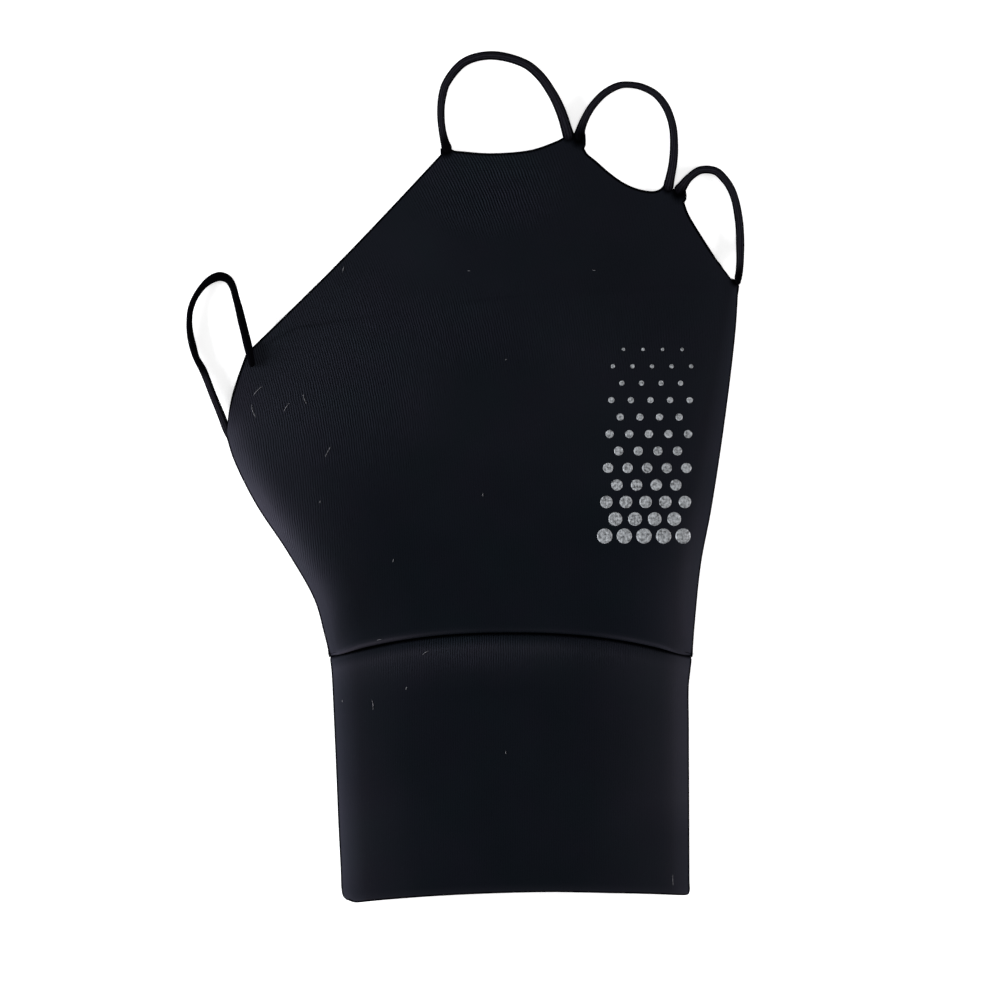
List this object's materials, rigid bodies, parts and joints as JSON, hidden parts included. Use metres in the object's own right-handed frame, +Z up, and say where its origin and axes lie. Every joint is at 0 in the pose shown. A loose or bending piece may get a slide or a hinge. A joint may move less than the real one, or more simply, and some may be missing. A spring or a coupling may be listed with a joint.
{
  "type": "sun protection glove",
  "caption": "Fingerless right-hand sun glove of stretch knit with a doubled wrist cuff and elastic loops for the thumb and fingers.",
  "frame": {"origin": "middle of the whole glove seen from above, on the surface that it lies on", "axes": "+X across the hand from the thumb to the little finger, +Y from the cuff to the fingers, +Z up, out of the back of the hand"},
  "size_m": [0.117, 0.1786, 0.0114],
  "materials": {
    "shell_knit": "near-black fine ribbed stretch knit with a slight blue cast and a soft sheen along its folds",
    "cuff_knit": "near-black fine ribbed stretch knit folded double, soft sheen along its folds",
    "loop_elastic": "near-black knitted elastic cord, matt",
    "print_film": "silver-grey heat-pressed print of plain dots, worn and slightly mottled"
  },
  "bodies": {
    "root": {"hand_shell": "shell_knit", "wrist_cuff": "cuff_knit", "thumb_loop": "loop_elastic", "middle_finger_loop": "loop_elastic", "ring_finger_loop": "loop_elastic", "little_finger_loop": "loop_elastic"}
  },
  "joints": []
}
